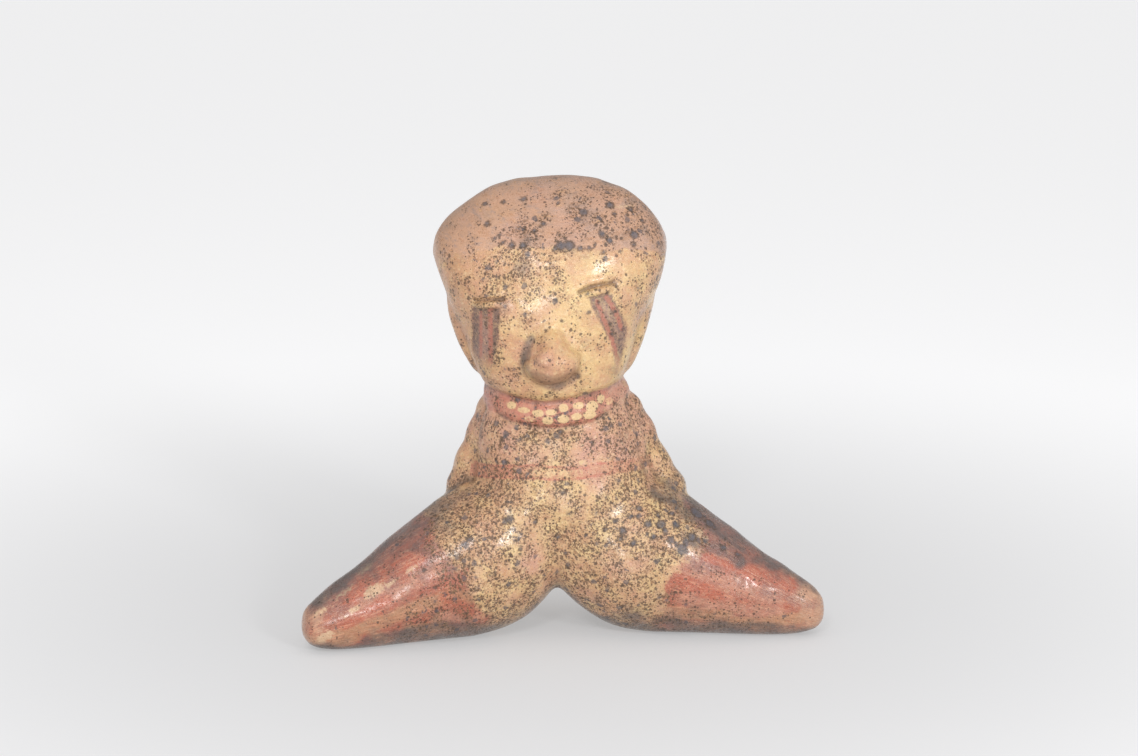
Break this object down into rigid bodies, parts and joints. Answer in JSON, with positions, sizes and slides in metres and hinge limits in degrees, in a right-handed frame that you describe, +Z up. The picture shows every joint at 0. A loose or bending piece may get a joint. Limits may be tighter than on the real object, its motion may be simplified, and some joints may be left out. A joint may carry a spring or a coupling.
{
  "type": "seated ceramic figure",
  "caption": "Seated hollow clay figure with a broad domed head, arms close to its sides and wide-spread tapering legs it rests on; slip painted and burnished.",
  "frame": {"origin": "on the surface it stands on, under the middle of the whole figure", "axes": "+X to the side of the picture's right leg, +Y to the figure's back, +Z up; the face looks along -Y"},
  "size_m": [0.222, 0.0868, 0.1946],
  "materials": {
    "fired_clay": "burnished cream slip with red slip on the legs, neck and belt, cream dots, dark speckle and worn patches"
  },
  "bodies": {
    "root": {"figure": "fired_clay"}
  },
  "joints": []
}
